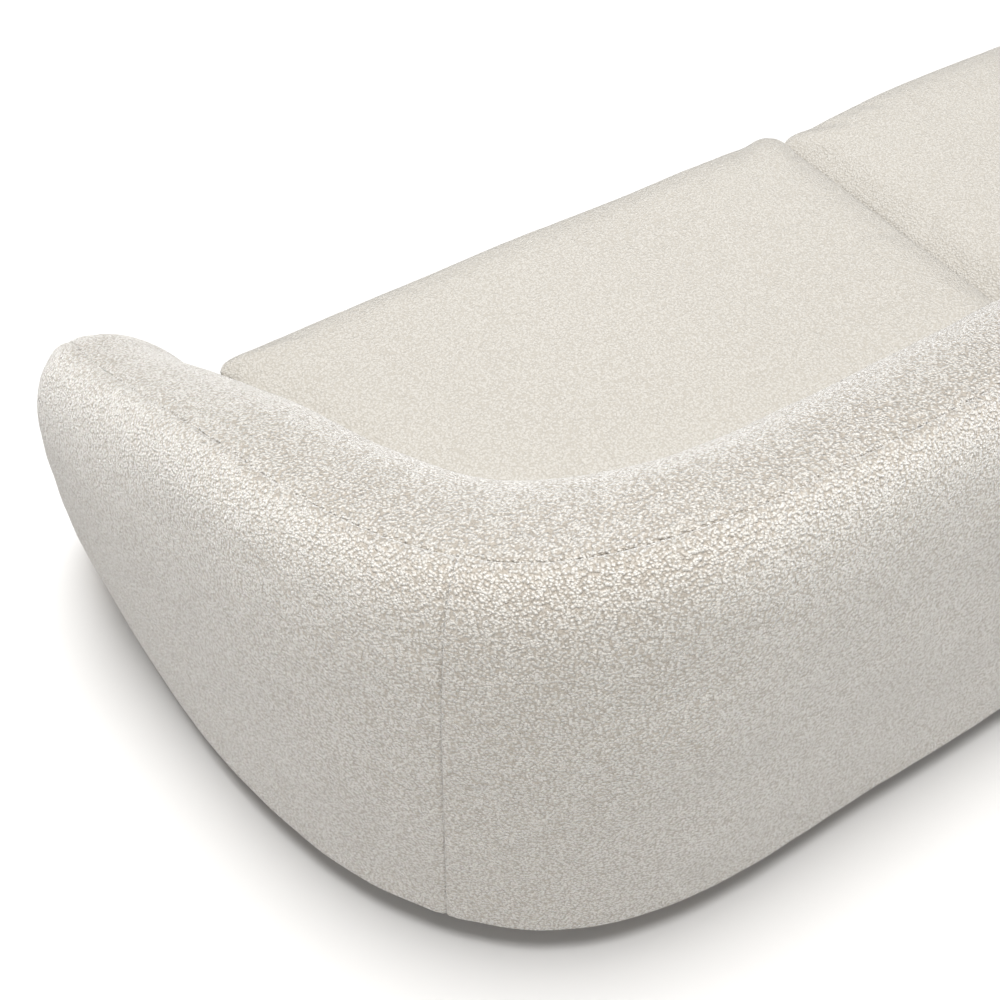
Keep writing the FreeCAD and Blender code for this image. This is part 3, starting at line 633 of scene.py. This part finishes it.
def settle(points, low, high, side):
    """A left-hand cushion's swollen points: lower towards its ends, uneven, flat where it rests."""
    upper = np.clip((points[:, 2] - low) / (high - low), 0.0, 1.0) ** UPPER_POWER
    far_x = points[:, 0].max()
    seed = CUSHION_SEED[side]
    drop = GAP_DROP[side] * fading(points[:, 0], END_FALL)
    drop += ARM_DROP * fading(far_x - points[:, 0], END_FALL)
    points[:, 2] -= drop * upper
    points[:, 0] -= GAP_PRESS * upper * fading(points[:, 0], GAP_PRESS_REACH)
    t = np.clip(1 - (points[:, 1] - ARM_END_Y) / ((1 - BLEND_STATION) * HALF_LENGTH), 0.0, 1.0)
    fill = ARM_FILL_REAR + ARM_FILL_FRONT * eased(t)
    points[:, 0] += fill * upper * fading(far_x - points[:, 0], ARM_FILL_REACH)
    from_corner = np.maximum(points[:, 0], 0.0) + np.maximum(points[:, 1] - SEAT_FRONT_Y, 0.0)
    points[:, 1] -= GAP_SQUARE[side] * upper * fading(from_corner, GAP_SQUARE_REACH)
    points[:, 2] += soft_waves(points, seed=seed, **TOP_WAVE) * upper
    points[:, 1] += soft_waves(points * (1.0, 0.2, 1.0), seed=seed + 1, **FRONT_WAVE)
    points[:, 0] = np.maximum(points[:, 0], CUSHION_HALF_GAP * 0.5)
    points[:, 2] = np.maximum(points[:, 2], low)
    return points


def build_cushions():
    """Both seat cushions: one block swollen as cloth, then settled differently on each side."""
    low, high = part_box("seat_cushion_cover_left")[0][2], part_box("seat_cushion_cover_left")[1][2]
    block = rounded_block("seat_cushion_left_boucle", low + CUSHION_FOOT_SLACK, high - CUSHION_TOP_SLACK)
    remesh(block, CUSHION_VOXEL)
    swell(block, CUSHION_PRESSURE, CUSHION_CAP)
    twin = mirror_copy(block, "seat_cushion_right_boucle")
    for cushion, body, side in ((block, LEFT, "left"), (twin, RIGHT, "right")):
        sign = np.array((SIDES[side], 1.0, 1.0))
        points = points_of(cushion.data) * sign
        set_points(cushion.data, settle(points, low, high, side) * sign)
        fine = cushion.modifiers.new("fine", "SUBSURF")
        fine.levels = fine.render_levels = 1
        take_mesh(cushion, evaluated(cushion))
        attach(cushion, body)
        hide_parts("seat_cushion_cover_" + side, "seat_cushion_core_" + side)
        # The seat's copy of the fabric is painted darker than the shell's, as painted shade against the
        # stronger light on the seat
        cushion.data.materials.clear()
        cushion.data.materials.append(SEAT_BOUCLE_PAINTED_DARKER)
        build_zip(cushion, side, body)


# ---------------------------------------------------------------- front band, cloths

def fine_copy(node_name, name, step):
    """A new piece with a CAD node's shape, cut into an even fine mesh."""
    work = bmesh.new()
    work.from_mesh(frame["nodes"][node_name].data)
    bmesh.ops.remove_doubles(work, verts=work.verts, dist=0.00001)
    low, high = (np.array(corner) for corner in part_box(node_name))
    for axis in range(3):
        way = Vector([float(axis == i) for i in range(3)])
        count = int((high[axis] - low[axis]) / step)
        for i in range(1, count):
            place = way * float(low[axis] + (high[axis] - low[axis]) * i / count)
            bmesh.ops.bisect_plane(work, geom=work.verts[:] + work.edges[:] + work.faces[:],
                                   plane_co=place, plane_no=way)
    mesh = bpy.data.meshes.new(name)
    work.to_mesh(mesh)
    work.free()
    mesh.materials.clear()
    piece = bpy.data.objects.new(name, mesh)
    bpy.context.collection.objects.link(piece)
    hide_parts(node_name)
    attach(piece, SHELL)
    return piece


def build_band():
    """Padded fabric band in front of the seat, turned back over the front rail."""
    band = fine_copy("front_band_cover", "front_band_boucle", BAND_STEP)
    low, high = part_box("front_band_cover")
    points = points_of(band.data)
    across = np.clip((points[:, 1] - low[1]) / (high[1] - low[1]), 0.0, 1.0)
    on_top = points[:, 2] > high[2] - BAND_TOP_SKIN
    points[:, 2] += on_top * (BAND_ROLL_EDGE + BAND_ROLL_CROWN * np.sin(math.pi * across))
    points[:, 1] += soft_waves(points * (1.0, 0.0, 1.0), seed=SEED + 40, **BAND_WAVE)
    set_points(band.data, points)
    band.data.materials.append(BOUCLE)


def build_linings():
    """Black cloths: the deck over the springs and the dust cover under the frame."""
    cloths = (("deck_cloth", "deck_lining", ("seat_springs", "front_rail", "rear_rail")),
              ("dust_cover", "dust_lining", ("base_board_back", "front_rail")))
    for node_name, name, rests in cloths:
        lining = fine_copy(node_name, name, LINING_STEP)
        points = points_of(lining.data)
        sag = soft_waves(points * (1.0, 1.0, 0.0), seed=SEED + 50, **LINING_WAVE)
        points[:, 2] -= np.abs(sag) * 0.5
        set_points(lining.data, points)
        lining.data.materials.append(LINING)


def back_surface(cushion, x, z):
    """Where a line from behind meets the cushion's rear at x, z."""
    start = Vector((x, BACK_Y, z))
    hit, place, _, _ = cushion.ray_cast(start, Vector((0.0, -1.0, 0.0)))
    return place.y if hit else None


def add_box(verts, faces, centre, half):
    """Add one small box to a list of vertices and faces."""
    first = len(verts)
    for i in (-1, 1):
        for j in (-1, 1):
            for k in (-1, 1):
                verts.append((centre[0] + i * half[0], centre[1] + j * half[1], centre[2] + k * half[2]))
    for quad in ((0, 1, 3, 2), (4, 6, 7, 5), (0, 4, 5, 1), (2, 3, 7, 6), (0, 2, 6, 4), (1, 5, 7, 3)):
        faces.append(tuple(first + corner for corner in quad))


def build_zip(cushion, side, body):
    """Zip at the cushion's rear: a row of teeth with its slider and pull."""
    low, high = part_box("seat_cushion_cover_" + side)
    z = 0.5 * (low[2] + high[2])
    verts, faces = [], []
    places = np.arange(ZIP_FROM, ZIP_TO, ZIP_PITCH) * SIDES[side]
    for i, x in enumerate(places):
        y = back_surface(cushion, x, z)
        if y is not None:
            lift = ZIP_TOOTH[2] * 0.5 * (1 if i % 2 else -1)
            add_box(verts, faces, (x, y + ZIP_TOOTH[1] * 0.5, z + lift), ZIP_TOOTH)
    x = places[-1]
    y = back_surface(cushion, x, z)
    add_box(verts, faces, (x, y + ZIP_SLIDER_OUT, z), ZIP_SLIDER)
    add_box(verts, faces, (x, y + ZIP_PULL_OUT, z - ZIP_PULL_DOWN), ZIP_PULL)
    closure = new_object("zip_" + side, verts, faces, smooth=False)
    closure.data.materials.append(FINISHES["clip_plastic"])
    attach(closure, body)


# ---------------------------------------------------------------- materials

def node(tree, kind, **values):
    """A new shader node with its properties set."""
    made = tree.nodes.new(kind)
    for key, value in values.items():
        setattr(made, key, value)
    return made


def start_material(name):
    """A new material, with its tree, its shader and its object coordinates."""
    material = bpy.data.materials.new(name)
    material.use_nodes = True
    tree = material.node_tree
    shader = tree.nodes["Principled BSDF"]
    place = node(tree, "ShaderNodeTexCoord")
    return material, tree, shader, place.outputs["Object"]


def ramp(tree, factor, stops):
    """Colour by factor, through stops of (position, colour)."""
    made = node(tree, "ShaderNodeValToRGB")
    tree.links.new(factor, made.inputs[0])
    elements = made.color_ramp.elements
    while len(elements) < len(stops):
        elements.new(0.5)
    for element, (position, colour) in zip(elements, stops):
        element.position = position
        element.color = (*colour, 1.0)
    return made.outputs["Color"]


def maths(tree, operation, a, b):
    """One maths node on two numbers or sockets."""
    made = node(tree, "ShaderNodeMath", operation=operation)
    for socket, value in zip(made.inputs, (a, b)):
        if isinstance(value, (int, float)):
            socket.default_value = value
        else:
            tree.links.new(value, socket)
    return made.outputs[0]


# Boucle: loops, the curls on them and the drift that bends their rows, each per metre
LOOPS_PER_METRE = 300.0
CURLS_PER_METRE = 800.0
DRIFT_PER_METRE = 190.0
DRIFT_REACH = 0.003
CURL_SHARE = 0.45
# Heights where the colour is the painted crevice shade, and where it reaches the ridge colour
CREVICE_SHADE_LEVEL, RIDGE_LEVEL = 0.58, 0.90


def boucle_material(name, ridge, crevice_shade, relief):
    """Looped wool: round loops about 3 mm across, with finer curls on them; its colour is painted darker down
    in the crevices between the loops, as painted shade.
    """
    material, tree, shader, place = start_material(name)
    link = tree.links.new
    drift = node(tree, "ShaderNodeTexNoise")
    drift.inputs["Scale"].default_value = DRIFT_PER_METRE
    drift.inputs["Detail"].default_value = 2.0
    link(place, drift.inputs["Vector"])
    shift = node(tree, "ShaderNodeVectorMath", operation="SCALE")
    link(drift.outputs["Color"], shift.inputs[0])
    shift.inputs["Scale"].default_value = DRIFT_REACH
    moved = node(tree, "ShaderNodeVectorMath", operation="ADD")
    link(place, moved.inputs[0])
    link(shift.outputs[0], moved.inputs[1])
    loops = node(tree, "ShaderNodeTexVoronoi", feature="SMOOTH_F1")
    loops.inputs["Scale"].default_value = LOOPS_PER_METRE
    loops.inputs["Smoothness"].default_value = 0.2
    link(moved.outputs[0], loops.inputs["Vector"])
    curls = node(tree, "ShaderNodeTexNoise")
    curls.inputs["Scale"].default_value = CURLS_PER_METRE
    curls.inputs["Detail"].default_value = 3.0
    link(moved.outputs[0], curls.inputs["Vector"])
    rounded = maths(tree, "SUBTRACT", 1.0, loops.outputs["Distance"])
    height = maths(tree, "ADD", rounded, maths(tree, "MULTIPLY", curls.outputs["Fac"], CURL_SHARE))
    bump = node(tree, "ShaderNodeBump")
    bump.inputs["Strength"].default_value = 1.0
    bump.inputs["Distance"].default_value = relief
    link(height, bump.inputs["Height"])
    link(bump.outputs[0], shader.inputs["Normal"])
    # Painted shade: the colour darkens from the ridge colour to the crevice colour down into the hollows
    # between the loops
    tint_and_crevice_shade = ramp(tree, height, ((CREVICE_SHADE_LEVEL, crevice_shade), (RIDGE_LEVEL, ridge)))
    link(tint_and_crevice_shade, shader.inputs["Base Color"])
    shader.inputs["Roughness"].default_value = 0.95
    shader.inputs["Specular IOR Level"].default_value = 0.15
    shader.inputs["Sheen Weight"].default_value = 1.0
    shader.inputs["Sheen Roughness"].default_value = 0.3
    return material


def grained_material(name, light, dark, stretch, scale, roughness, bump_by=0.0003, metallic=0.0):
    """Plain procedural finish whose noise is stretched by the given factors."""
    material, tree, shader, place = start_material(name)
    link = tree.links.new
    mapping = node(tree, "ShaderNodeMapping")
    mapping.inputs["Scale"].default_value = stretch
    link(place, mapping.inputs["Vector"])
    noise = node(tree, "ShaderNodeTexNoise")
    noise.inputs["Scale"].default_value = scale
    noise.inputs["Detail"].default_value = 5.0
    noise.inputs["Distortion"].default_value = 0.6
    link(mapping.outputs[0], noise.inputs["Vector"])
    link(ramp(tree, noise.outputs["Fac"], ((0.3, dark), (0.7, light))), shader.inputs["Base Color"])
    bump = node(tree, "ShaderNodeBump")
    bump.inputs["Strength"].default_value = 0.4
    bump.inputs["Distance"].default_value = bump_by
    link(noise.outputs["Fac"], bump.inputs["Height"])
    link(bump.outputs[0], shader.inputs["Normal"])
    shader.inputs["Roughness"].default_value = roughness
    shader.inputs["Metallic"].default_value = metallic
    return material


def build_finishes():
    """One finish for each of the record's material slots."""
    return {
        "boucle": BOUCLE,
        "foam": grained_material("foam", (0.75, 0.70, 0.52), (0.62, 0.56, 0.40), (1, 1, 1), 300.0, 0.9),
        "lining_cloth": grained_material("lining_cloth", (0.055, 0.052, 0.05), (0.03, 0.03, 0.03), (1, 6, 6),
                                         220.0, 0.95),
        "felt": grained_material("felt", (0.16, 0.14, 0.12), (0.08, 0.07, 0.06), (1, 1, 1), 900.0, 1.0),
        "leg_wood": grained_material("leg_wood", (0.22, 0.11, 0.055), (0.10, 0.045, 0.02), (9, 9, 1),
                                     22.0, 0.4),
        "frame_timber": grained_material("frame_timber", (0.62, 0.44, 0.26), (0.46, 0.30, 0.16), (1, 9, 9),
                                         14.0, 0.7),
        "plywood": grained_material("plywood", (0.64, 0.48, 0.30), (0.50, 0.35, 0.20), (2, 2, 12), 16.0, 0.7),
        "hardboard": grained_material("hardboard", (0.30, 0.19, 0.11), (0.20, 0.12, 0.07), (1, 1, 1),
                                      260.0, 0.8),
        "zinc_steel": grained_material("zinc_steel", (0.62, 0.62, 0.60), (0.46, 0.46, 0.46), (1, 1, 1), 180.0,
                                       0.35, metallic=1.0),
        "spring_steel": grained_material("spring_steel", (0.30, 0.30, 0.31), (0.20, 0.20, 0.21), (1, 1, 1),
                                         240.0, 0.4, metallic=1.0),
        "clip_plastic": grained_material("clip_plastic", (0.75, 0.74, 0.70), (0.66, 0.65, 0.62), (1, 1, 1),
                                         350.0, 0.5),
    }


def dress_cad(finishes):
    """Give every CAD node the finish of its record slot."""
    for entry in frame["record"]["subparts"]:
        mesh = frame["nodes"][entry["node"]].data
        mesh.materials.clear()
        mesh.materials.append(finishes[entry["material_slot"]])


# ---------------------------------------------------------------- room, light, camera

def add_lamp(name, light):
    """Far soft lamp, its height above the horizon and its azimuth from +X in degrees."""
    lamp = bpy.data.lights.new(name, "SUN")
    lamp.energy = light["strength"]
    lamp.angle = math.radians(light["spread"])
    height, azimuth = math.radians(light["height"]), math.radians(light["azimuth"])
    way = Vector((math.cos(height) * math.cos(azimuth), math.cos(height) * math.sin(azimuth),
                  math.sin(height)))
    holder = bpy.data.objects.new(name, lamp)
    holder.location = way * LAMP_DISTANCE
    holder.rotation_euler = way.to_track_quat("Z", "Y").to_euler()
    bpy.context.collection.objects.link(holder)


def build_room():
    """Plain pale floor, an even white surround, and soft key and fill lamps."""
    bpy.ops.mesh.primitive_plane_add(size=FLOOR_SIZE, location=(0.0, 0.0, 0.0))
    floor = bpy.context.object
    floor.name = "studio_floor"
    material, _, shader, _ = start_material("studio_white")
    shader.inputs["Base Color"].default_value = FLOOR_WHITE
    shader.inputs["Roughness"].default_value = 1.0
    shader.inputs["Specular IOR Level"].default_value = 0.0
    floor.data.materials.append(material)
    world = bpy.data.worlds.new("studio")
    world.use_nodes = True
    back = world.node_tree.nodes["Background"]
    back.inputs["Color"].default_value = (1.0, 1.0, 1.0, 1.0)
    back.inputs["Strength"].default_value = WORLD_STRENGTH
    bpy.context.scene.world = world
    add_lamp("key", KEY)
    add_lamp("fill", FILL)


def build_camera():
    """Camera above and behind the left-hand rear corner, looking down over it at the seat."""
    data = bpy.data.cameras.new("view")
    data.sensor_width = SENSOR_WIDTH
    data.lens = VIEW_LENS
    data.clip_end = VIEW_FAR
    camera = bpy.data.objects.new("view", data)
    camera.location = VIEW_PLACE
    camera.rotation_mode = "XYZ"
    pitch, yaw = math.radians(VIEW_PITCH), math.radians(VIEW_YAW)
    level = Vector((-math.sin(yaw), -math.cos(yaw), 0.0))
    forward = level * math.cos(pitch) + Vector((0.0, 0.0, -math.sin(pitch)))
    camera.rotation_euler = forward.to_track_quat("-Z", "Y").to_euler()
    bpy.context.collection.objects.link(camera)
    bpy.context.scene.camera = camera
    bpy.context.scene.view_settings.view_transform = "Standard"


# Lit and shaded copies of one fabric: the shell's copy is painted lighter, to make up for the shade on its
# walls, and the seat's copy is painted darker, for the stronger light on the seat
BOUCLE = boucle_material("boucle", (0.885, 0.853, 0.797), (0.53, 0.477, 0.41), 0.0044)
SEAT_BOUCLE_PAINTED_DARKER = boucle_material("seat_boucle_painted_darker", (0.60, 0.575, 0.53), (0.49, 0.46, 0.41), 0.0016)
FINISHES = build_finishes()
LINING = FINISHES["lining_cloth"]
build_shell()
build_cushions()
build_band()
build_linings()
dress_cad(FINISHES)
build_room()
build_camera()
